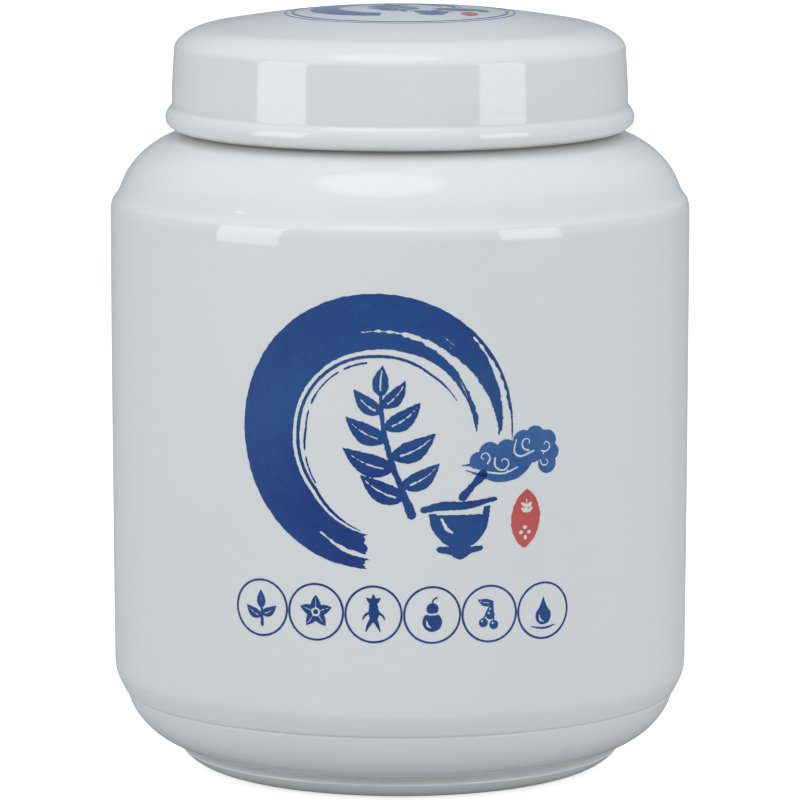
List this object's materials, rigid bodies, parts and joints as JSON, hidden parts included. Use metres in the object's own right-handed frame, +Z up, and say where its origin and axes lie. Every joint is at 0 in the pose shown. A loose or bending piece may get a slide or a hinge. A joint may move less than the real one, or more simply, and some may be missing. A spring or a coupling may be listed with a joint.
{
  "type": "apothecary jar",
  "caption": "Round porcelain storage jar with a short neck, a stepped shoulder, a turned foot, and a lift-off domed lid that carries a soft seal ring.",
  "frame": {"origin": "centre of the circle that the foot rests on", "axes": "+Z up along the jar's axis; -Y towards the decorated front"},
  "size_m": [0.1, 0.1, 0.1316],
  "materials": {
    "jar_porcelain": "clear glossy glaze over white porcelain, blue and red fired-on decoration, bare matt foot ring",
    "lid_porcelain": "clear glossy glaze over white porcelain, blue and red fired-on medallion on top",
    "silicone": "translucent white silicone, satin"
  },
  "bodies": {
    "jar": {"jar_body": "jar_porcelain"},
    "seal": {"seal_ring": "silicone"},
    "lid": {"lid": "lid_porcelain"}
  },
  "joints": [
    {"name": "lid_lift", "type": "slide", "parent": "jar", "child": "seal", "axis": [0, 0, 1], "range_m": [0, 0.06]},
    {"name": "lid_turn", "type": "hinge", "parent": "seal", "child": "lid", "pos_m": [0, 0, 0.12], "axis": [0, 0, 1], "continuous": true}
  ]
}
